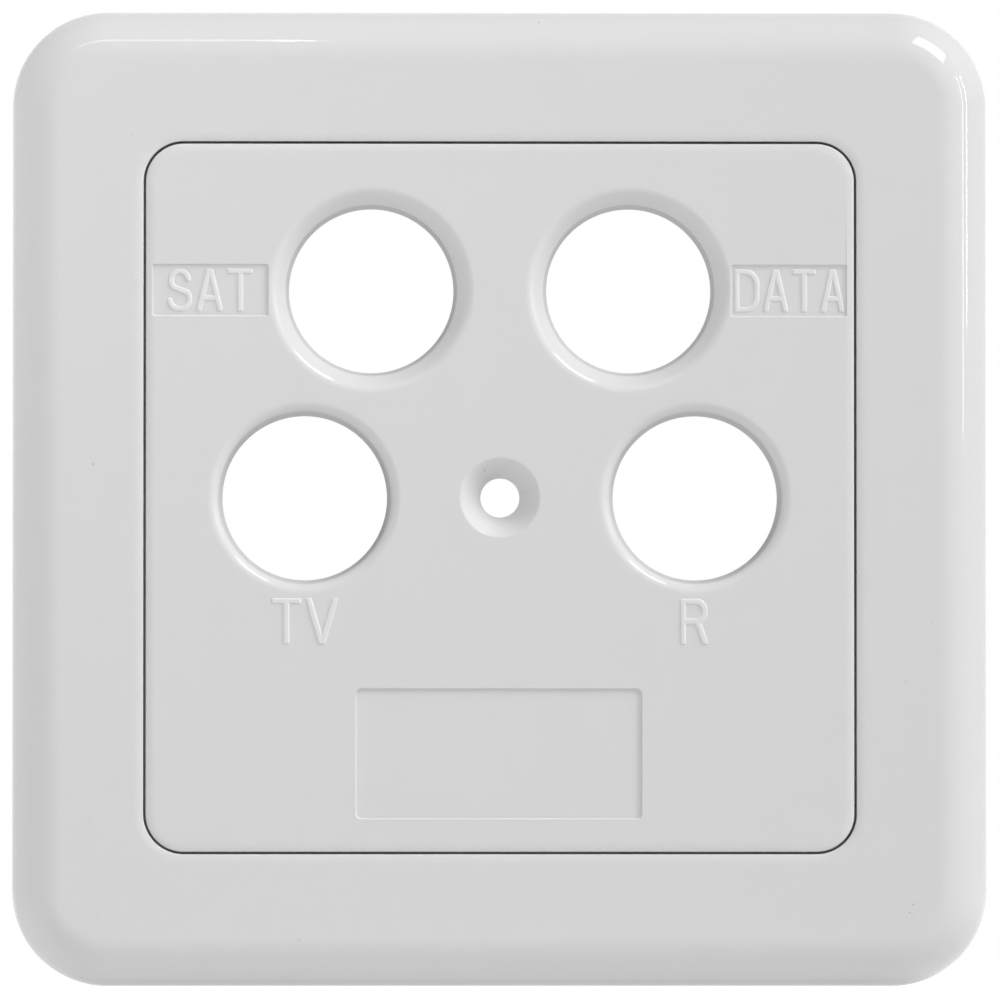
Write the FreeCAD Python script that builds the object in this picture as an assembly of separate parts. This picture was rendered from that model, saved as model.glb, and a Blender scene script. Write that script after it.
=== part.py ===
import FreeCAD, Part
import math
import os

from FreeCAD import Vector

# Wall cover for a satellite outlet: a moulded frame with a drop-in centre plate.
# It is drawn lying on its back, with the wall plane at z = 0, x to the right, y up the wall
# and z towards the room. Then it is stood up, so that +Z is up, the face looks along -Y,
# and the origin is on the screw's axis in the wall plane.

# Frame, in millimetres: outer square, its depth from the wall, and its soft front edge
FRAME_SIZE = 80.0
FRAME_DEPTH = 9.0
FRAME_CORNER_R = 7.8
SHOULDER_R = 4.0
FRAME_WALL = 2.0
FRAME_FACE_T = 2.2

# Seat in the frame's window, where the plate's rim rests
SEAT_WIDTH = 1.2
SEAT_T = 1.6
SEAT_CORNER_R = 2.2
WINDOW_WALL = 1.6
WINDOW_BEVEL = 0.3

# Stiffening ribs across the channel behind the frame's face
FRAME_RIB_T = 1.2
FRAME_RIB_PITCH = 20.0

# Centre plate, flush with the frame's face, with an even gap round it
PLATE_SIZE = 58.0
PLATE_T = 2.8
PLATE_CORNER_R = 3.1
PLATE_GAP = 0.2
PLATE_EDGE_ROUND = 0.5

# Skirt behind the plate, which centres it in the seat
SKIRT_T = 1.5
SKIRT_HEIGHT = 4.0
SKIRT_GAP = 0.2
SKIRT_INNER_R = 0.8

# Port holes: a straight land at the back, a drafted throat, and a lead-in at the face, which is
# a cone blended into the face on the upper pair and a plain round on the lower pair
PORT_R = 6.75
PORT_LAND = 0.8
PORT_DRAFT = 0.22
UPPER_PORT_X = 10.55
UPPER_PORT_Y = 17.0
PORT_CONE_WIDTH = 1.13
PORT_CONE_HALF_ANGLE_DEG = 45.0
PORT_CONE_BLEND = 0.41
LOWER_PORT_X = 16.0
LOWER_PORT_Y = 0.0
PORT_EDGE_ROUND = 1.0

# Screw hole with its countersink, and the boss and ribs behind it
SCREW_HOLE_R = 1.6
SCREW_HEAD_R = 3.25
SCREW_CONE_HALF_ANGLE_DEG = 45.0
BOSS_R = 3.5
BOSS_RIB_T = 1.2
BOSS_RIB_HEIGHT = 2.0

# Shallow recesses in the plate's face: a panel beside each upper port, a field below. Their
# sizes are those of the floor, and their walls lean out from there.
RECESS_DEPTH = 0.28
RECESS_WALL_RUN = 0.28
PANEL_WIDTH = 9.22
PANEL_HEIGHT = 3.97
PANEL_X = 23.7
FIELD_WIDTH = 23.12
FIELD_HEIGHT = 10.42
FIELD_CORNER_R = 0.36
FIELD_Y = -21.0

# How far a cutting shape runs past the face that it opens, and how near counts as level
OVERRUN = 1.0
NEAR = 0.001

# Sizes that follow from the ones above
WINDOW_SIZE = PLATE_SIZE + 2 * PLATE_GAP
WINDOW_CORNER_R = PLATE_CORNER_R + PLATE_GAP
APERTURE_SIZE = WINDOW_SIZE - 2 * SEAT_WIDTH
SEAT_Z = FRAME_DEPTH - PLATE_T
SEAT_UNDERSIDE_Z = SEAT_Z - SEAT_T
FRAME_CEILING_Z = FRAME_DEPTH - FRAME_FACE_T
SKIRT_SIZE = APERTURE_SIZE - 2 * SKIRT_GAP
SKIRT_CORNER_R = SEAT_CORNER_R - SKIRT_GAP
PORT_THROAT_R = PORT_R + PORT_DRAFT


def rounded_rectangle(width, height, corner_r, z):
    """Closed wire of four straight sides and four corner arcs, centred on the z axis."""
    x = width / 2
    y = height / 2
    bend = corner_r * (1 - math.sqrt(0.5))
    edges = []
    for turn in range(4):
        half, across = (x, y) if turn % 2 == 0 else (y, x)
        side = Part.LineSegment(
            Vector(half, -across + corner_r, z),
            Vector(half, across - corner_r, z),
        )
        corner = Part.Arc(
            Vector(half, across - corner_r, z),
            Vector(half - bend, across - bend, z),
            Vector(half - corner_r, across, z),
        )
        for curve in (side, corner):
            edge = curve.toShape()
            edge.rotate(Vector(0, 0, 0), Vector(0, 0, 1), 90 * turn)
            edges.append(edge)
    return Part.Wire(edges)


def square_block(size, corner_r, z_low, z_high):
    """Upright block on a rounded square, between two heights."""
    outline = rounded_rectangle(size, size, corner_r, z_low)
    return Part.Face(outline).extrude(Vector(0, 0, z_high - z_low))


def rim_edges(solid, z, size):
    """The level edges at height z that lie within a square of the given size."""
    reach = size / 2 + NEAR
    rim = []
    for edge in solid.Edges:
        box = edge.BoundBox
        level = abs(box.ZMin - z) < NEAR and abs(box.ZMax - z) < NEAR
        inside = max(-box.XMin, box.XMax, -box.YMin, box.YMax) < reach
        if level and inside:
            rim.append(edge)
    return rim


def turned_about_z(profile_edges):
    """Solid of revolution about the z axis from a closed profile, with its seam towards y."""
    face = Part.Face(Part.Wire(profile_edges))
    face.rotate(Vector(0, 0, 0), Vector(0, 0, 1), 90)
    return face.revolve(Vector(0, 0, 0), Vector(0, 0, 1), 360)


def straight_run(points):
    """Edges that join the points one after the other."""
    return [Part.LineSegment(a, b).toShape() for a, b in zip(points, points[1:])]


def blend(start, corner, end):
    """Smooth curve that leaves the two lines through a corner at the given points."""
    curve = Part.BezierCurve()
    curve.setPoles([start, corner, end])
    return curve.toShape()


def port_cutter(lead_in, lip, throat_top):
    """Hole through the plate below the edges of a lead-in that runs from lip to throat_top."""
    rest = straight_run([
        throat_top,
        Vector(PORT_R, 0, SEAT_Z + PORT_LAND),
        Vector(PORT_R, 0, -OVERRUN),
        Vector(0, 0, -OVERRUN),
        Vector(0, 0, FRAME_DEPTH + OVERRUN),
        Vector(lip.x, 0, FRAME_DEPTH + OVERRUN),
        lip,
    ])
    return turned_about_z(lead_in + rest)


def coned_port_cutter():
    """Port hole of the upper pair, with a cone that is blended into the face."""
    half_angle = math.radians(PORT_CONE_HALF_ANGLE_DEG)
    cone_height = PORT_CONE_WIDTH / math.tan(half_angle)
    down_the_cone = Vector(-math.sin(half_angle), 0, -math.cos(half_angle))
    mouth = Vector(PORT_THROAT_R + PORT_CONE_WIDTH, 0, FRAME_DEPTH)
    lip = mouth + Vector(PORT_CONE_BLEND, 0, 0)
    cone_top = mouth + down_the_cone * PORT_CONE_BLEND
    throat_top = Vector(PORT_THROAT_R, 0, FRAME_DEPTH - cone_height)
    lead_in = [blend(lip, mouth, cone_top)] + straight_run([cone_top, throat_top])
    return port_cutter(lead_in, lip, throat_top)


def rounded_port_cutter():
    """Port hole of the lower pair, whose edge is only rounded over."""
    edge = Vector(PORT_THROAT_R, 0, FRAME_DEPTH)
    lip = edge + Vector(PORT_EDGE_ROUND, 0, 0)
    throat_top = edge - Vector(0, 0, PORT_EDGE_ROUND)
    return port_cutter([blend(lip, edge, throat_top)], lip, throat_top)


def screw_hole_cutter():
    """Through hole for the screw, with a plain cone for its flat head."""
    head_depth = (SCREW_HEAD_R - SCREW_HOLE_R) / math.tan(math.radians(SCREW_CONE_HALF_ANGLE_DEG))
    hole = Part.makeCylinder(SCREW_HOLE_R, FRAME_DEPTH + 2 * OVERRUN, Vector(0, 0, -OVERRUN))
    head = Part.makeCone(SCREW_HOLE_R, SCREW_HEAD_R, head_depth, Vector(0, 0, FRAME_DEPTH - head_depth))
    return hole.fuse(head)


def frame_channel():
    """Hollow behind the frame's face, left open at the back, with ribs standing in it."""
    outer_size = FRAME_SIZE - 2 * FRAME_WALL
    outer_corner_r = FRAME_CORNER_R - FRAME_WALL
    hollow = square_block(outer_size, outer_corner_r, -OVERRUN, FRAME_CEILING_Z)
    bevel = (SHOULDER_R - FRAME_WALL) * (2 - math.sqrt(2))
    hollow = hollow.makeChamfer(bevel, rim_edges(hollow, FRAME_CEILING_Z, outer_size))
    core_size = WINDOW_SIZE + 2 * WINDOW_WALL
    core_corner_r = WINDOW_CORNER_R + WINDOW_WALL
    core = square_block(core_size, core_corner_r, SEAT_UNDERSIDE_Z, FRAME_DEPTH)
    channel = hollow.cut(core)
    rib_start = WINDOW_SIZE / 2
    rib = Part.makeBox(
        FRAME_SIZE / 2 - rib_start,
        FRAME_RIB_T,
        FRAME_DEPTH - SEAT_UNDERSIDE_Z,
        Vector(rib_start, -FRAME_RIB_T / 2, SEAT_UNDERSIDE_Z),
    )
    for side in range(4):
        for place in (-1, 0, 1):
            standing = rib.translated(Vector(0, place * FRAME_RIB_PITCH, 0))
            standing.rotate(Vector(0, 0, 0), Vector(0, 0, 1), 90 * side)
            channel = channel.cut(standing)
    return channel


def make_cover_frame():
    """Square moulded ring with a soft shoulder, a stepped window and a hollow back."""
    frame = square_block(FRAME_SIZE, FRAME_CORNER_R, 0, FRAME_DEPTH)
    frame = frame.makeFillet(SHOULDER_R, rim_edges(frame, FRAME_DEPTH, FRAME_SIZE))
    window = square_block(WINDOW_SIZE, WINDOW_CORNER_R, SEAT_Z, FRAME_DEPTH + OVERRUN)
    aperture = square_block(APERTURE_SIZE, SEAT_CORNER_R, -OVERRUN, FRAME_DEPTH)
    frame = frame.cut(window).cut(aperture)
    frame = frame.makeChamfer(WINDOW_BEVEL, rim_edges(frame, FRAME_DEPTH, WINDOW_SIZE))
    return frame.cut(frame_channel())


def make_skirt():
    """Low wall behind the plate that slides into the frame's aperture."""
    inner_size = SKIRT_SIZE - 2 * SKIRT_T
    foot_z = SEAT_Z - SKIRT_HEIGHT
    outside = square_block(SKIRT_SIZE, SKIRT_CORNER_R, foot_z, SEAT_Z)
    inside = square_block(inner_size, SKIRT_INNER_R, foot_z, SEAT_Z)
    return outside.cut(inside)


def make_boss():
    """Screw boss down to the wall plane, with a rib up and a rib down to the skirt."""
    boss = Part.makeCylinder(BOSS_R, SEAT_Z)
    rib_length = SKIRT_SIZE - SKIRT_T
    rib = Part.makeBox(
        BOSS_RIB_T,
        rib_length,
        BOSS_RIB_HEIGHT,
        Vector(-BOSS_RIB_T / 2, -rib_length / 2, SEAT_Z - BOSS_RIB_HEIGHT),
    )
    return boss.fuse(rib)


def sharp_frustum(width, height, lean, z_low, z_high):
    """Block on a plain rectangle, whose four walls lean outward by the time they reach the top."""
    x = width / 2
    y = height / 2
    block = Part.makeWedge(
        -x, z_low, -y, -y - lean, -x - lean,
        x, z_high, y, y + lean, x + lean,
    )
    block.rotate(Vector(0, 0, 0), Vector(1, 0, 0), 90)
    return block


def rounded_frustum(width, height, corner_r, lean, z_low, z_high):
    """Block on a rounded rectangle, whose walls lean outward by the time they reach the top."""
    low = rounded_rectangle(width, height, corner_r, z_low)
    high = rounded_rectangle(width + 2 * lean, height + 2 * lean, corner_r + lean, z_high)
    return Part.makeLoft([low, high], True, True)


def face_recesses():
    """Cutters for the two panels beside the upper ports and the label field below."""
    floor_z = FRAME_DEPTH - RECESS_DEPTH
    top_z = FRAME_DEPTH + OVERRUN
    lean = RECESS_WALL_RUN * (top_z - floor_z) / RECESS_DEPTH
    panel = sharp_frustum(PANEL_WIDTH, PANEL_HEIGHT, lean, floor_z, top_z)
    field = rounded_frustum(FIELD_WIDTH, FIELD_HEIGHT, FIELD_CORNER_R, lean, floor_z, top_z)
    return [
        panel.translated(Vector(-PANEL_X, UPPER_PORT_Y, 0)),
        panel.translated(Vector(PANEL_X, UPPER_PORT_Y, 0)),
        field.translated(Vector(0, FIELD_Y, 0)),
    ]


def make_centre_plate():
    """Flush plate with its skirt and boss, then every hole and recess cut through it."""
    plate = square_block(PLATE_SIZE, PLATE_CORNER_R, SEAT_Z, FRAME_DEPTH)
    plate = plate.makeFillet(PLATE_EDGE_ROUND, rim_edges(plate, FRAME_DEPTH, PLATE_SIZE))
    plate = plate.fuse([make_skirt(), make_boss()]).removeSplitter()
    upper = coned_port_cutter()
    lower = rounded_port_cutter()
    cutters = face_recesses()
    for side in (-1, 1):
        cutters.append(upper.translated(Vector(side * UPPER_PORT_X, UPPER_PORT_Y, 0)))
        cutters.append(lower.translated(Vector(side * LOWER_PORT_X, LOWER_PORT_Y, 0)))
    cutters.append(screw_hole_cutter())
    for cutter in cutters:
        plate = plate.cut(cutter)
    return plate


os.makedirs("parts", exist_ok=True)
for name, shape in (("cover_frame", make_cover_frame()), ("centre_plate", make_centre_plate())):
    solid = shape.Solids[0]
    solid.rotate(Vector(0, 0, 0), Vector(1, 0, 0), 90)
    solid.exportStep("parts/" + name + ".step")
    print(name, "volume", round(solid.Volume, 1), "valid", solid.isValid(), len(shape.Solids))
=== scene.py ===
import math

import bmesh
import bpy
import numpy as np
from mathutils import Matrix, Vector


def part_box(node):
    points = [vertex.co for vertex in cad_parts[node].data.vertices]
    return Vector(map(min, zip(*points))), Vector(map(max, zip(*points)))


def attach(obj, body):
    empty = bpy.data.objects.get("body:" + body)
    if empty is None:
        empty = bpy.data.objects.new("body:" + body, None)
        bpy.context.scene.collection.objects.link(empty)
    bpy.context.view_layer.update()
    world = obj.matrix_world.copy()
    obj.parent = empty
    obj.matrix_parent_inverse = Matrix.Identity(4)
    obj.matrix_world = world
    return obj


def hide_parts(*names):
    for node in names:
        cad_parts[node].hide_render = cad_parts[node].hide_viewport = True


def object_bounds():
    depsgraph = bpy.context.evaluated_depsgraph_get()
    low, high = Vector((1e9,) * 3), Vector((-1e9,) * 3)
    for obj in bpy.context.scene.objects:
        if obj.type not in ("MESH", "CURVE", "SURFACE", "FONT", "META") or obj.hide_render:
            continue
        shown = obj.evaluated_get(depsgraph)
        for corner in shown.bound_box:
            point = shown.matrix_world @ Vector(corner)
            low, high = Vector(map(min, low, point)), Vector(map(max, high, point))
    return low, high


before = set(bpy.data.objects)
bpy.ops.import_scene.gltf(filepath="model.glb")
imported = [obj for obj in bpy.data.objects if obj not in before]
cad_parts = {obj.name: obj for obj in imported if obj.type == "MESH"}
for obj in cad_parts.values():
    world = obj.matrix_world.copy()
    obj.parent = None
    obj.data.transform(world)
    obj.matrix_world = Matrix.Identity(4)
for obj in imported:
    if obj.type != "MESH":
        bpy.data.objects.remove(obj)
cad_low, cad_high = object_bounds()


# Cover frame: a square ring moulded in white gloss thermoplastic, with a soft front shoulder,
# a stepped window that the centre plate drops into, and a hollow, ribbed back. It lies flat
# against the wall and is held there by the plate, which the screw pulls into its seat.
frame_low, frame_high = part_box("cover_frame")
frame_half = frame_high.x
frame_depth = -frame_low.y
frame_corner_r = 0.0078
shoulder_r = 0.004
frame_wall = 0.002
frame_face_t = 0.0022
back_edge_round = 0.00025

window_half = 0.0292
window_corner_r = 0.0033
window_wall = 0.0016
edge_round = 0.00013
edge_lead = 0.0007
edge_sag = 0.0001
seat_depth = 0.0062
seat_underside = 0.0046
aperture_half = 0.028
aperture_corner_r = 0.0022

rib_t = 0.0012
rib_places = (-0.02, 0.0, 0.02)
rib_bite = 0.0005

CORNER_STEPS = 24
EDGE_STEPS = 6
BACK_EDGE_STEPS = 4
SHOULDER_STEPS = 20
SHARP_ANGLE = math.radians(40)


def rounded_loop(half_width, half_height, corner_r, depth, centre_x=0.0, centre_z=0.0):
    """Points of a rounded rectangle parallel to the wall, at a depth in front of it."""
    points = []
    for quarter in range(4):
        side_x = 1 if quarter in (0, 3) else -1
        side_z = 1 if quarter in (0, 1) else -1
        for step in range(CORNER_STEPS + 1):
            turn = (quarter + step / CORNER_STEPS) * math.pi / 2
            x = side_x * (half_width - corner_r) + corner_r * math.cos(turn)
            z = side_z * (half_height - corner_r) + corner_r * math.sin(turn)
            points.append(Vector((centre_x + x, -depth, centre_z + z)))
    return points


def square_loop(half, corner_r, depth):
    """A rounded square about the middle of the cover."""
    return rounded_loop(half, half, corner_r, depth)


def arc(start_deg, end_deg, steps):
    """Evenly spaced angles along an arc, both ends included."""
    return [math.radians(start_deg + (end_deg - start_deg) * i / steps) for i in range(steps + 1)]


def eased_edge():
    """Distance back from a wall and drop from the face, along an edge that sags to a tight round."""
    lean = math.atan(2 * edge_sag / edge_lead)
    round_start = edge_round * (1 - math.sin(lean))
    section = []
    for step in range(EDGE_STEPS):
        along = step / EDGE_STEPS
        section.append((round_start + edge_lead * (1 - along), edge_sag * along ** 2))
    for turn in arc(math.degrees(lean), 90, EDGE_STEPS):
        fall = edge_round * (math.cos(lean) - math.cos(turn))
        section.append((edge_round * (1 - math.sin(turn)), edge_sag + fall))
    return section


def add_loft(bm, loops, closed=False):
    """Skin from loop to loop, closed on itself or with a flat end at each end."""
    rings = [[bm.verts.new(point) for point in loop] for loop in loops]
    pairs = list(zip(rings, rings[1:]))
    if closed:
        pairs.append((rings[-1], rings[0]))
    for ring, following in pairs:
        for i in range(len(ring)):
            j = (i + 1) % len(ring)
            bm.faces.new((ring[i], ring[j], following[j], following[i]))
    if not closed:
        bm.faces.new(rings[0])
        bm.faces.new(rings[-1])


def piece_from(bm, name):
    """Mesh object made from a finished bmesh, with its faces turned outward."""
    bmesh.ops.recalc_face_normals(bm, faces=bm.faces)
    mesh = bpy.data.meshes.new(name)
    bm.to_mesh(mesh)
    bm.free()
    piece = bpy.data.objects.new(name, mesh)
    bpy.context.scene.collection.objects.link(piece)
    return piece


def combine(piece, other, operation):
    """Joins the other mesh to the piece, or cuts it out of it; the other is then gone."""
    step = piece.modifiers.new(operation.lower(), "BOOLEAN")
    step.operation = operation
    step.solver = "EXACT"
    step.object = other
    shaped = piece.evaluated_get(bpy.context.evaluated_depsgraph_get())
    mesh = bpy.data.meshes.new_from_object(shaped)
    piece.modifiers.clear()
    piece.data = mesh
    bpy.data.objects.remove(other)


def shade_moulding(piece):
    """Smooth shading that stays flat on flat faces and breaks only at real corners."""
    piece.data.shade_smooth()
    piece.data.set_sharp_from_angle(angle=SHARP_ANGLE)
    even = piece.modifiers.new("even_shading", "WEIGHTED_NORMAL")
    even.keep_sharp = True


def add_box(bm, low, high):
    """Closed box between two opposite corners."""
    corners = [(low.x, low.z), (high.x, low.z), (high.x, high.z), (low.x, high.z)]
    loops = [[Vector((x, y, z)) for x, z in corners] for y in (low.y, high.y)]
    add_loft(bm, loops)


def make_cover_frame():
    """One closed ring, lofted round its section, with the ribs joined into its channel."""
    shoulder_start = frame_depth - shoulder_r
    ceiling = frame_depth - frame_face_t
    channel_half = frame_half - frame_wall
    channel_corner_r = frame_corner_r - frame_wall
    channel_bevel = (shoulder_r - frame_wall) * (2 - math.sqrt(2))
    core_half = window_half + window_wall
    core_corner_r = window_corner_r + window_wall
    loops = []
    for turn in arc(-90, 0, BACK_EDGE_STEPS):
        inset = back_edge_round * (1 - math.cos(turn))
        depth = back_edge_round * (1 + math.sin(turn))
        loops.append(square_loop(frame_half - inset, frame_corner_r - inset, depth))
    for turn in arc(0, 90, SHOULDER_STEPS):
        inset = shoulder_r * (1 - math.cos(turn))
        depth = shoulder_start + shoulder_r * math.sin(turn)
        loops.append(square_loop(frame_half - inset, frame_corner_r - inset, depth))
    for outset, drop in eased_edge():
        loops.append(square_loop(window_half + outset, window_corner_r + outset, frame_depth - drop))
    loops += [
        square_loop(window_half, window_corner_r, seat_depth),
        square_loop(aperture_half, aperture_corner_r, seat_depth),
        square_loop(aperture_half, aperture_corner_r, seat_underside),
        square_loop(core_half, core_corner_r, seat_underside),
        square_loop(core_half, core_corner_r, ceiling),
        square_loop(channel_half - channel_bevel, channel_corner_r - channel_bevel, ceiling),
        square_loop(channel_half, channel_corner_r, ceiling - channel_bevel),
        square_loop(channel_half, channel_corner_r, 0.0),
    ]
    bm = bmesh.new()
    add_loft(bm, loops, closed=True)
    ring = piece_from(bm, "frame_moulding")
    ribs = bmesh.new()
    for place in rib_places:
        for side in (-1, 1):
            inner = side * (core_half - rib_bite)
            outer = side * (channel_half + rib_bite)
            across = sorted((inner, outer))
            along = (place - rib_t / 2, place + rib_t / 2)
            front = -(ceiling + rib_bite)
            add_box(
                ribs,
                Vector((across[0], front, along[0])),
                Vector((across[1], -seat_underside, along[1])),
            )
            add_box(
                ribs,
                Vector((along[0], front, across[0])),
                Vector((along[1], -seat_underside, across[1])),
            )
    combine(ring, piece_from(ribs, "frame_ribs"), "UNION")
    shade_moulding(ring)
    return ring


def new_group(name, inputs, outputs):
    """Empty shader node group with the named float inputs and outputs."""
    group = bpy.data.node_groups.new(name, "ShaderNodeTree")
    for label, value in inputs:
        socket = group.interface.new_socket(label, in_out="INPUT", socket_type="NodeSocketFloat")
        socket.default_value = value
    for label in outputs:
        group.interface.new_socket(label, in_out="OUTPUT", socket_type="NodeSocketFloat")
    return group


def math_node(tree, operation, first, second):
    """Math node whose two values are sockets or plain numbers; gives its output socket."""
    node = tree.nodes.new("ShaderNodeMath")
    node.operation = operation
    for socket, value in zip(node.inputs, (first, second)):
        if isinstance(value, bpy.types.NodeSocket):
            tree.links.new(value, socket)
        else:
            socket.default_value = value
    return node.outputs[0]


def noise(tree, coordinate, scale, detail):
    """Noise texture over the given coordinate; gives its value socket."""
    node = tree.nodes.new("ShaderNodeTexNoise")
    node.inputs["Scale"].default_value = scale
    node.inputs["Detail"].default_value = detail
    tree.links.new(coordinate, node.inputs["Vector"])
    return node.outputs[0]


cloud_scale = 260.0
rub_scale = 420.0
peel_scale = 700.0


def moulded_skin_group():
    """Skin of a gloss moulding: faint cloudiness, uneven polish and a very low orange peel."""
    group = new_group(
        "moulded_skin",
        [("Cloudiness", 0.02), ("Polish", 0.03), ("Polish Spread", 0.02)],
        ["Shade", "Roughness", "Height"],
    )
    inside = group.nodes.new("NodeGroupInput")
    outside = group.nodes.new("NodeGroupOutput")
    place = group.nodes.new("ShaderNodeTexCoord").outputs["Object"]
    cloud = noise(group, place, cloud_scale, detail=4.0)
    lost = math_node(group, "MULTIPLY", cloud, inside.outputs["Cloudiness"])
    group.links.new(math_node(group, "SUBTRACT", 1.0, lost), outside.inputs["Shade"])
    rub = noise(group, place, rub_scale, detail=3.0)
    spread = math_node(group, "MULTIPLY", rub, inside.outputs["Polish Spread"])
    polish = math_node(group, "ADD", inside.outputs["Polish"], spread)
    group.links.new(polish, outside.inputs["Roughness"])
    peel = noise(group, place, peel_scale, detail=1.0)
    group.links.new(peel, outside.inputs["Height"])
    return group


moulded_skin = moulded_skin_group()

# Grains of dust and small smudges on the front: place across and up, radius and darkness
dust = [
    (-0.03331, 0.00271, 0.00011, 0.4), (-0.03032, 0.00075, 0.00010, 0.12),
    (0.00320, 0.03906, 0.00012, 0.2), (-0.03350, -0.02635, 0.00055, 0.02),
    (-0.01652, -0.03628, 0.00009, 0.2), (-0.01638, -0.03624, 0.00009, 0.2),
    (-0.03300, -0.03430, 0.00020, 0.06), (0.03534, -0.01035, 0.00009, 0.25),
    (0.03325, -0.01505, 0.00009, 0.2), (0.03382, -0.03331, 0.00012, 0.3),
    (0.03353, -0.03397, 0.00011, 0.3), (0.03436, -0.03356, 0.00010, 0.12),
    (0.03374, -0.03430, 0.00010, 0.12), (0.03230, 0.02550, 0.00008, 0.15),
    (-0.03020, 0.02970, 0.00016, 0.06), (-0.00327, 0.01917, 0.00008, 0.15),
    (-0.00127, 0.00220, 0.00010, 0.3), (-0.00127, 0.00236, 0.00010, 0.3),
    (0.00214, 0.00058, 0.00010, 0.15), (0.00230, -0.00065, 0.00010, 0.15),
]
speck_core = 0.3


def dust_specks_group():
    """Dark specks on the front of both mouldings; the back is clean."""
    group = new_group("dust_specks", [("Amount", 1.0)], ["Shade"])
    inside = group.nodes.new("NodeGroupInput")
    outside = group.nodes.new("NodeGroupOutput")
    place = group.nodes.new("ShaderNodeTexCoord").outputs["Object"]
    split = group.nodes.new("ShaderNodeSeparateXYZ")
    group.links.new(place, split.inputs[0])
    flat = group.nodes.new("ShaderNodeCombineXYZ")
    group.links.new(split.outputs["X"], flat.inputs["X"])
    group.links.new(split.outputs["Z"], flat.inputs["Z"])
    total = 0.0
    for across, up, radius, darkness in dust:
        apart = group.nodes.new("ShaderNodeVectorMath")
        apart.operation = "DISTANCE"
        apart.inputs[1].default_value = (across, 0.0, up)
        group.links.new(flat.outputs[0], apart.inputs[0])
        speck = group.nodes.new("ShaderNodeMapRange")
        speck.interpolation_type = "SMOOTHSTEP"
        speck.inputs["From Min"].default_value = radius
        speck.inputs["From Max"].default_value = radius * speck_core
        speck.inputs["To Max"].default_value = darkness
        group.links.new(apart.outputs["Value"], speck.inputs["Value"])
        total = math_node(group, "ADD", speck.outputs["Result"], total)
    front = math_node(group, "LESS_THAN", split.outputs["Y"], -frame_depth / 2)
    on_front = math_node(group, "MULTIPLY", total, front)
    lost = math_node(group, "MULTIPLY", on_front, inside.outputs["Amount"])
    group.links.new(math_node(group, "SUBTRACT", 1.0, lost), outside.inputs["Shade"])
    return group


dust_specks = dust_specks_group()


def gloss_plastic(name, colour, polish, peel_height):
    """White gloss thermoplastic: a clean dielectric with the moulded skin and dust over it."""
    material = bpy.data.materials.new(name)
    material.use_nodes = True
    tree = material.node_tree
    shader = tree.nodes["Principled BSDF"]
    shader.inputs["IOR"].default_value = 1.5
    skin = tree.nodes.new("ShaderNodeGroup")
    skin.node_tree = moulded_skin
    skin.inputs["Polish"].default_value = polish
    specks = tree.nodes.new("ShaderNodeGroup")
    specks.node_tree = dust_specks
    shade = math_node(tree, "MULTIPLY", skin.outputs["Shade"], specks.outputs["Shade"])
    tint = tree.nodes.new("ShaderNodeMix")
    tint.data_type = "RGBA"
    tint.blend_type = "MULTIPLY"
    tint.inputs["Factor"].default_value = 1.0
    tint.inputs["A"].default_value = (*colour, 1.0)
    tree.links.new(shade, tint.inputs["B"])
    tree.links.new(tint.outputs["Result"], shader.inputs["Base Color"])
    tree.links.new(skin.outputs["Roughness"], shader.inputs["Roughness"])
    bump = tree.nodes.new("ShaderNodeBump")
    bump.inputs["Distance"].default_value = peel_height
    tree.links.new(skin.outputs["Height"], bump.inputs["Height"])
    tree.links.new(bump.outputs["Normal"], shader.inputs["Normal"])
    return material


frame_white = (0.72, 0.72, 0.72)
frame_plastic = gloss_plastic("frame_plastic", frame_white, 0.025, 0.000002)
cover_frame = make_cover_frame()
cover_frame.data.materials.append(frame_plastic)
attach(cover_frame, "root")
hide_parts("cover_frame")


# Centre plate: a thin moulding of the same white plastic that lies flush in the frame, with a
# skirt and a screw boss behind it. Its face has four port holes with blended lead-ins, a
# countersunk screw hole, two sunk name panels and a sunk field for a paper label.
plate_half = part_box("centre_plate")[1].x
plate_corner_r = 0.0031
skirt_half = 0.0278
skirt_corner_r = 0.002
skirt_foot = 0.0022
skirt_t = 0.0015
skirt_inner_r = 0.0008
boss_r = 0.0035
boss_rib_t = 0.0012
boss_rib_height = 0.002

port_r = 0.00675
port_land = 0.0008
port_throat_r = 0.00697
port_edge_round = 0.001
port_foot_round = 0.0005
port_wall_margin = 0.0002
port_wall_lean = 0.5
port_wall_slot = 1
upper_port = (0.01055, 0.017)
upper_mouth_r = 0.0081
lower_port = (0.016, 0.0)
screw_hole_r = 0.0016
screw_hole_back_r = 0.0019
screw_head_r = 0.00325
screw_rim_round = 0.00025
screw_foot_round = 0.0001
cone_deg = 45

recess_round = 0.00005
recess_slope_deg = 65
panel_half = (0.00466, 0.00203)
panel_corner_r = 0.00012
panel_depth = 0.00017
panels = ((-0.02374, 0.01699), (0.02367, 0.01695))
field_half = (0.01161, 0.00523)
field_corner_r = 0.00036
field_depth = 0.0002
field = (-0.0001, -0.02098)

overrun = 0.001
PORT_STEPS = 128
RIM_STEPS = 8
FOOT_STEPS = 6
RECESS_STEPS = 5


def circle_loop(centre_x, centre_z, r, depth):
    """Points of a circle parallel to the wall, at a depth in front of it."""
    turns = [2 * math.pi * i / PORT_STEPS for i in range(PORT_STEPS)]
    return [Vector((centre_x + r * math.cos(t), -depth, centre_z + r * math.sin(t))) for t in turns]


def arc_profile(centre_r, centre_depth, bend_r, start_deg, end_deg, steps):
    """Radius and depth along an arc in a section through a hole's axis."""
    turns = arc(start_deg, end_deg, steps)
    return [(centre_r + bend_r * math.cos(t), centre_depth + bend_r * math.sin(t)) for t in turns]


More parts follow.
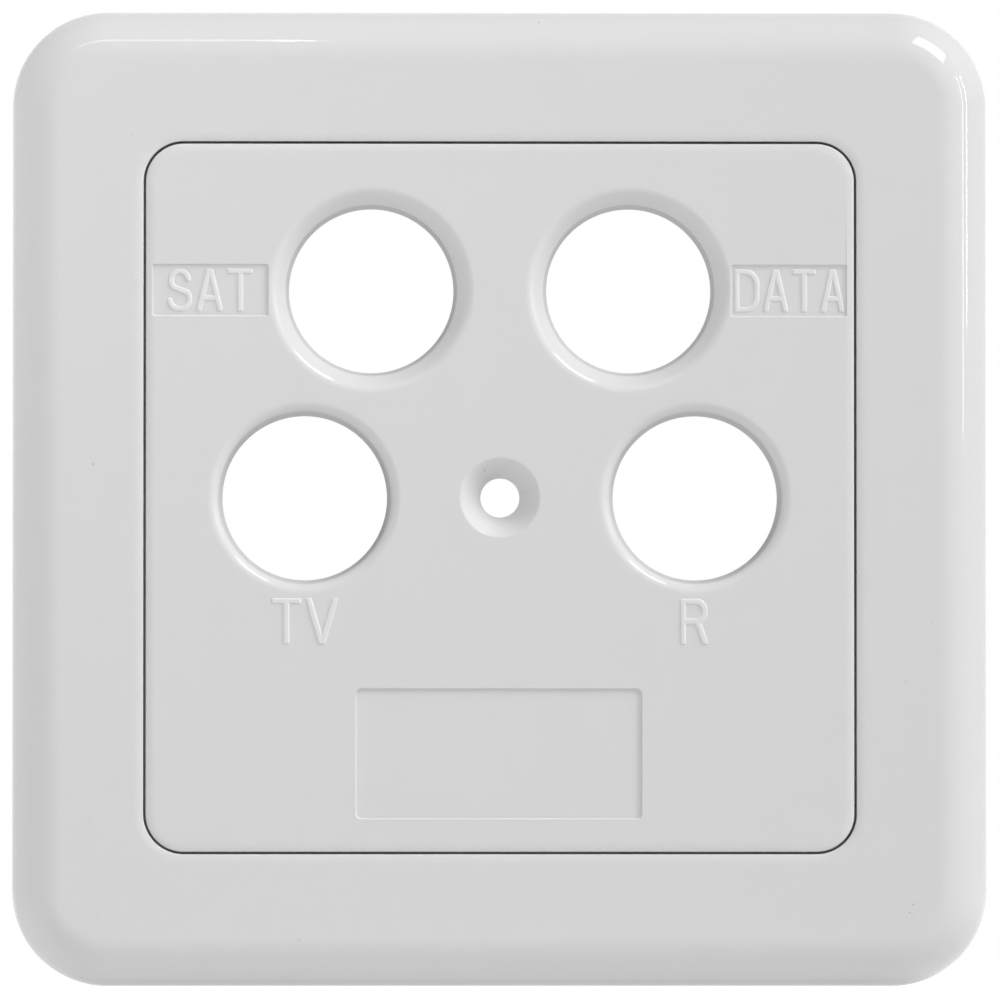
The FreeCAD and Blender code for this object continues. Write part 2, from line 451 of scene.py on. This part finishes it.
def coned_profile(mouth_r, edge_round, throat_r, foot_round):
    """Section of a cone that is rounded into the face above it and into the hole below it."""
    slope = math.radians(cone_deg)
    lip_r = mouth_r + edge_round * math.tan(slope / 2)
    foot = frame_depth - (mouth_r - throat_r) * math.tan(slope)
    foot -= foot_round * math.tan((math.pi / 2 - slope) / 2)
    turned = 90 + cone_deg
    rim = arc_profile(lip_r, frame_depth - edge_round, edge_round, 90, turned, RIM_STEPS)
    return rim + arc_profile(throat_r + foot_round, foot, foot_round, turned, 180, FOOT_STEPS)


def add_hole_cutter(bm, centre, lead_in, rest):
    """Turned cutter through the plate: its lead-in from the face, and the rest of the hole."""
    profile = [(lead_in[0][0], frame_depth + overrun)] + lead_in + rest
    add_loft(bm, [circle_loop(*centre, r, depth) for r, depth in profile])


def add_recess_cutter(bm, half, corner_r, recess_depth, centre):
    """Shallow sunk field with a flat floor, whose leaning wall is rounded at its foot and rim."""
    slope = math.radians(recess_slope_deg)
    run = 2 * recess_round * math.tan(slope / 2) + recess_depth / math.tan(slope)
    profile = []
    for turn in arc(0, recess_slope_deg, RECESS_STEPS):
        out = recess_round * math.sin(turn)
        profile.append((out, frame_depth - recess_depth + recess_round * (1 - math.cos(turn))))
    for turn in arc(recess_slope_deg, 0, RECESS_STEPS):
        out = run - recess_round * math.sin(turn)
        profile.append((out, frame_depth - recess_round * (1 - math.cos(turn))))
    profile.append((run, frame_depth + overrun))
    loops = [
        rounded_loop(half[0] + out, half[1] + out, corner_r + out, depth, *centre)
        for out, depth in profile
    ]
    add_loft(bm, loops)


def make_centre_plate():
    """Plate and skirt in one loft, joined to the boss and ribs, then cut by every opening."""
    loops = []
    for inset, drop in eased_edge():
        loops.append(square_loop(plate_half - inset, plate_corner_r - inset, frame_depth - drop))
    skirt_inner_half = skirt_half - skirt_t
    loops += [
        square_loop(plate_half, plate_corner_r, seat_depth),
        square_loop(skirt_half, skirt_corner_r, seat_depth),
        square_loop(skirt_half, skirt_corner_r, skirt_foot),
        square_loop(skirt_inner_half, skirt_inner_r, skirt_foot),
        square_loop(skirt_inner_half, skirt_inner_r, seat_depth),
    ]
    bm = bmesh.new()
    add_loft(bm, loops)
    plate = piece_from(bm, "plate_moulding")

    inside = seat_depth + overrun
    boss = bmesh.new()
    add_loft(boss, [circle_loop(0.0, 0.0, boss_r, 0.0), circle_loop(0.0, 0.0, boss_r, inside)])
    combine(plate, piece_from(boss, "screw_boss"), "UNION")
    rib = bmesh.new()
    rib_reach = skirt_half - skirt_t / 2
    add_box(
        rib,
        Vector((-boss_rib_t / 2, -inside, -rib_reach)),
        Vector((boss_rib_t / 2, boss_rib_height - seat_depth, rib_reach)),
    )
    combine(plate, piece_from(rib, "boss_rib"), "UNION")

    recesses = bmesh.new()
    for panel in panels:
        add_recess_cutter(recesses, panel_half, panel_corner_r, panel_depth, panel)
    add_recess_cutter(recesses, field_half, field_corner_r, field_depth, field)
    combine(plate, piece_from(recesses, "recesses"), "DIFFERENCE")
    upper_lead_in = coned_profile(upper_mouth_r, port_edge_round, port_throat_r, port_foot_round)
    edge_r = port_throat_r + port_edge_round
    edge_depth = frame_depth - port_edge_round
    lower_lead_in = arc_profile(edge_r, edge_depth, port_edge_round, 90, 180, 2 * RIM_STEPS)
    port_back = [(port_r, seat_depth + port_land), (port_r, -overrun)]
    screw_lead_in = coned_profile(screw_head_r, screw_rim_round, screw_hole_r, screw_foot_round)
    screw_back = [(screw_hole_back_r, 0.0), (screw_hole_back_r, -overrun)]
    holes = bmesh.new()
    for side in (-1, 1):
        add_hole_cutter(holes, (side * upper_port[0], upper_port[1]), upper_lead_in, port_back)
        add_hole_cutter(holes, (side * lower_port[0], lower_port[1]), lower_lead_in, port_back)
    add_hole_cutter(holes, (0.0, 0.0), screw_lead_in, screw_back)
    combine(plate, piece_from(holes, "holes"), "DIFFERENCE")
    shade_moulding(plate)
    return plate


def mark_port_walls(plate):
    """Gives the plate's second material, a darker grey with no gloss that paints shade into the
    bores, to the steep walls inside its four port holes.
    """
    for face in plate.data.polygons:
        place = (abs(face.center.x), face.center.z)
        apart = min(math.dist(place, upper_port), math.dist(place, lower_port))
        if apart < port_throat_r + port_wall_margin and abs(face.normal.y) < port_wall_lean:
            face.material_index = port_wall_slot


plate_white = (0.72, 0.72, 0.72)
plate_plastic = gloss_plastic("plate_plastic", plate_white, 0.04, 0.000003)
# Darker grey with no gloss: painted shade on the walls inside the port holes.
port_wall_shade_grey = (0.6, 0.6, 0.6)
port_wall_painted_shade = gloss_plastic("port_wall_painted_shade", port_wall_shade_grey, 0.8, 0.000004)
port_wall_shader = port_wall_painted_shade.node_tree.nodes["Principled BSDF"]
port_wall_shader.inputs["Specular IOR Level"].default_value = 0.0
centre_plate = make_centre_plate()
centre_plate.data.materials.append(plate_plastic)
centre_plate.data.materials.append(port_wall_painted_shade)
mark_port_walls(centre_plate)
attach(centre_plate, "root")
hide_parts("centre_plate")


# Port marks: plain capital letters moulded with the plate as low beads with drafted sides, on the
# panel floors beside the upper ports and on the face below the lower ports. The cut of the mould
# leaves them a little less glossy than the face, and their colour is painted paler than the face's as
# painted light on the raised strokes.
bead_rise = 0.00012
bead_sink = 0.00003
bead_grid = 0.00004
bead_spread = 0.6
bead_flatness = 5
BEAD_SHARP_ANGLE = math.radians(70)
panel_floor = frame_depth - panel_depth


def curve_points(centre, radii, start_deg, end_deg, steps=14):
    """Points along a stretch of an ellipse."""
    turns = arc(start_deg, end_deg, steps)
    return [(centre[0] + radii[0] * math.cos(t), centre[1] + radii[1] * math.sin(t)) for t in turns]


# Stroke centrelines of each letter in a box one wide and one high; an end that runs past the box
# is cut off square at its edge
letter_strokes = {
    "T": [[(-0.2, 1), (1.2, 1)], [(0.5, 1), (0.5, -0.2)]],
    "V": [[(-0.094, 1.2), (0.47, 0), (0.53, 0), (1.094, 1.2)]],
    "A": [[(-0.09, -0.2), (0.45, 1), (0.55, 1), (1.09, -0.2)], [(0.13, 0.29), (0.87, 0.29)]],
    "D": [
        [(0.42, 0), (0, 0), (0, 1)]
        + curve_points((0.42, 0.62), (0.58, 0.38), 90, 0)
        + curve_points((0.42, 0.38), (0.58, 0.38), 0, -90)[1:]
    ],
    "R": [
        [(0, -0.2), (0, 1)] + curve_points((0.6, 0.755), (0.4, 0.245), 90, -90) + [(0, 0.51)],
        [(0.66, 0.51), (1.14, -0.2)],
    ],
    "S": [
        curve_points((0.5, 0.75), (0.43, 0.25), 8, 222, steps=20)
        + curve_points((0.5, 0.26), (0.5, 0.26), 42, -172, steps=20)
    ],
}


def letter_segments(letter, left, right, foot, top, stroke):
    """Straight pieces of a letter's strokes, fitted so that their outer edges fill the box."""
    width = right - left - stroke
    height = top - foot - stroke
    segments = []
    for line in letter_strokes[letter]:
        placed = [(left + stroke / 2 + x * width, foot + stroke / 2 + z * height) for x, z in line]
        segments += list(zip(placed, placed[1:]))
    return segments


def distance_to(segments, x, z):
    """Distance from each grid point to the nearest stroke centreline."""
    nearest = np.full(x.shape, np.inf)
    for (x0, z0), (x1, z1) in segments:
        run_x, run_z = x1 - x0, z1 - z0
        along = ((x - x0) * run_x + (z - z0) * run_z) / (run_x ** 2 + run_z ** 2)
        along = np.clip(along, 0, 1)
        nearest = np.minimum(nearest, np.hypot(x - x0 - along * run_x, z - z0 - along * run_z))
    return nearest


def make_word(name, letters, foot, top, stroke, floor_depth):
    """Closed mesh of one port's mark, swelling to a bead along every stroke."""
    bead_half = stroke * bead_spread
    xs = np.arange(letters[0][1] - bead_grid, letters[-1][2] + 2 * bead_grid, bead_grid)
    zs = np.arange(foot - bead_grid, top + 2 * bead_grid, bead_grid)
    x, z = np.meshgrid(xs, zs, indexing="ij")
    across = np.ones(x.shape)
    for letter, left, right in letters:
        apart = distance_to(letter_segments(letter, left, right, foot, top, stroke), x, z)
        past_side = np.maximum(left - x, x - right) + bead_half
        past_end = np.maximum(foot - z, z - top) + bead_half
        apart = np.maximum(apart, np.maximum(past_side, past_end))
        across = np.minimum(across, apart / bead_half)
    rise = bead_rise * (1 - np.clip(across, 0, 1) ** bead_flatness) - bead_sink
    swollen = across < 1
    used = swollen[:-1, :-1] | swollen[1:, :-1] | swollen[:-1, 1:] | swollen[1:, 1:]
    bm = bmesh.new()
    verts = {}

    def vert(i, j):
        if (i, j) not in verts:
            verts[i, j] = bm.verts.new((x[i, j], -(floor_depth + rise[i, j]), z[i, j]))
        return verts[i, j]

    for i, j in np.argwhere(used):
        bm.faces.new((vert(i, j), vert(i + 1, j), vert(i + 1, j + 1), vert(i, j + 1)))
    hidden = bmesh.ops.extrude_face_region(bm, geom=list(bm.faces), use_keep_orig=True)
    for element in hidden["geom"]:
        if isinstance(element, bmesh.types.BMVert):
            element.co.y = -(floor_depth - 2 * bead_sink)
    word = piece_from(bm, name)
    word.data.shade_smooth()
    word.data.set_sharp_from_angle(angle=BEAD_SHARP_ANGLE)
    word.data.materials.append(mark_plastic)
    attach(word, "root")


# Paler than the face's white: painted light on the raised strokes.
mark_painted_light_white = (0.78, 0.78, 0.78)
mark_plastic = gloss_plastic("mark_plastic", mark_painted_light_white, 0.2, 0.000004)
upper_stroke = 0.00042
sat_foot, sat_top = 0.01522, 0.01876
make_word(
    "mark_sat",
    [("S", -0.02728, -0.02521), ("A", -0.02488, -0.02273), ("T", -0.02237, -0.02023)],
    sat_foot, sat_top, upper_stroke, panel_floor,
)
data_foot, data_top = 0.01517, 0.01873
make_word(
    "mark_data",
    [
        ("D", 0.01916, 0.02127), ("A", 0.02156, 0.02359),
        ("T", 0.02392, 0.0259), ("A", 0.02626, 0.02821),
    ],
    data_foot, data_top, upper_stroke, panel_floor,
)
lower_stroke = 0.00047
tv_foot, tv_top = -0.01206, -0.00823
make_word(
    "mark_tv",
    [("T", -0.01873, -0.01627), ("V", -0.01588, -0.0133)],
    tv_foot, tv_top, lower_stroke, frame_depth,
)
r_foot, r_top = -0.01207, -0.00828
make_word("mark_r", [("R", 0.01472, 0.017)], r_foot, r_top, lower_stroke, frame_depth)


# Floor: a wide pale table that the cover stands on. It is lit through its sheet, so some light comes
# back up under the cover; it is white to the camera and keeps the cover's shadow.
floor_size = 1.2
floor_colour = (0.45, 0.45, 0.45)
floor_glow = 0.4
floor_white = 0.8
floor_mesh = bmesh.new()
bmesh.ops.create_grid(floor_mesh, x_segments=1, y_segments=1, size=floor_size / 2)
floor = piece_from(floor_mesh, "floor")
floor.location.z = cad_low.z


def seen_level(tree, unseen, seen):
    """One level where the camera or a reflection looks, and another for light that falls."""
    rays = tree.nodes.new("ShaderNodeLightPath")
    looks = math_node(tree, "MAXIMUM", rays.outputs["Is Camera Ray"], rays.outputs["Is Glossy Ray"])
    looks = math_node(tree, "MAXIMUM", looks, rays.outputs["Is Transmission Ray"])
    level = math_node(tree, "MULTIPLY_ADD", looks, seen - unseen)
    level.node.inputs[2].default_value = unseen
    return level


def lit_sheet(name, colour, glow, white):
    """Matt sheet with a little light coming through it."""
    material = bpy.data.materials.new(name)
    material.use_nodes = True
    tree = material.node_tree
    shader = tree.nodes["Principled BSDF"]
    shader.inputs["Base Color"].default_value = (*colour, 1.0)
    shader.inputs["Roughness"].default_value = 1.0
    shader.inputs["Specular IOR Level"].default_value = 0.0
    shader.inputs["Emission Color"].default_value = (1.0, 1.0, 1.0, 1.0)
    tree.links.new(seen_level(tree, glow, white), shader.inputs["Emission Strength"])
    return material


floor.data.materials.append(lit_sheet("floor_sheet", floor_colour, floor_glow, floor_white))


# Light: an even white surround, with soft lamps above right, right, above, near left, left and
# behind. Only the window and the narrow lamps show in the gloss.
ambient_level = 0.02
world = bpy.data.worlds.new("studio")
bpy.context.scene.world = world
world.use_nodes = True
sky = world.node_tree.nodes["Background"]
sky.inputs["Color"].default_value = (1.0, 1.0, 1.0, 1.0)
world.node_tree.links.new(seen_level(world.node_tree, ambient_level, 1.0), sky.inputs["Strength"])


def add_lamp(name, turn_deg, lean_deg, distance, size, watts, mirrored):
    """Rectangular lamp, turned from the right towards the top and leaning off the view axis.

    Its size is given along the turn and along the lean; mirrored lamps show in the gloss.
    """
    light = bpy.data.lights.new(name, "AREA")
    light.shape = "RECTANGLE"
    light.size, light.size_y = size
    light.energy = watts
    lamp = bpy.data.objects.new(name, light)
    turn, lean = math.radians(turn_deg), math.radians(lean_deg)
    away = Vector((math.sin(lean) * math.cos(turn), -math.cos(lean), math.sin(lean) * math.sin(turn)))
    across = Vector((-math.sin(turn), 0.0, math.cos(turn)))
    lamp.location = away * distance
    lamp.rotation_euler = Matrix((across, away.cross(across), away)).transposed().to_euler()
    lamp.visible_camera = False
    lamp.visible_glossy = mirrored
    bpy.context.scene.collection.objects.link(lamp)


add_lamp("window", 55.8, 62.4, 1.0, (0.41, 0.4), 3.0, True)
add_lamp("right_edge", 15.4, 62.1, 1.0, (0.4, 0.045), 0.38, True)
add_lamp("right_bar", 15.35, 72.6, 1.0, (0.4, 0.03), 0.55, True)
add_lamp("top_strip", 104.3, 48.2, 1.0, (0.34, 0.04), 0.24, True)
add_lamp("top_glint", 91.6, 48.2, 1.0, (0.005, 0.05), 0.012, True)
add_lamp("upper_right", 50.0, 76.0, 1.0, (0.49, 0.3), 3.9, False)
add_lamp("right_side", 14.0, 72.0, 1.0, (0.42, 0.3), 1.1, False)
add_lamp("above", 92.0, 72.0, 1.0, (0.7, 0.3), 0.6, False)
add_lamp("near_left", 130.0, 41.0, 0.22, (0.15, 0.15), 0.138, False)
add_lamp("left_side", 172.0, 96.0, 1.0, (0.5, 0.4), 2.9, False)
add_lamp("behind", 90.0, 176.0, 0.8, (0.8, 0.8), 4.8, False)


# Camera: almost straight in front at about a metre and a little low, fitted to the photograph's
# outlines. Its lens follows from the pixels that a metre on the cover's face takes up.
view_distance = 1.04
view_azimuth = math.radians(-0.75)
view_elevation = math.radians(-1.9)
face_pixels_per_metre = 12215
image_pixels = 1000
camera_data = bpy.data.cameras.new("camera")
camera_data.sensor_width = 36.0
face_share = face_pixels_per_metre / image_pixels
camera_data.lens = face_share * view_distance * camera_data.sensor_width
camera_data.shift_x = -0.0001
camera_data.shift_y = -0.0026
camera = bpy.data.objects.new("camera", camera_data)
back = Vector((
    math.sin(view_azimuth) * math.cos(view_elevation),
    -math.cos(view_azimuth) * math.cos(view_elevation),
    math.sin(view_elevation),
))
camera.location = Vector((0.0, -frame_depth, 0.0)) + back * view_distance
camera.rotation_euler = (math.radians(90) - view_elevation, 0.0, view_azimuth)
bpy.context.scene.collection.objects.link(camera)
bpy.context.scene.camera = camera
bpy.context.scene.view_settings.view_transform = "Standard"
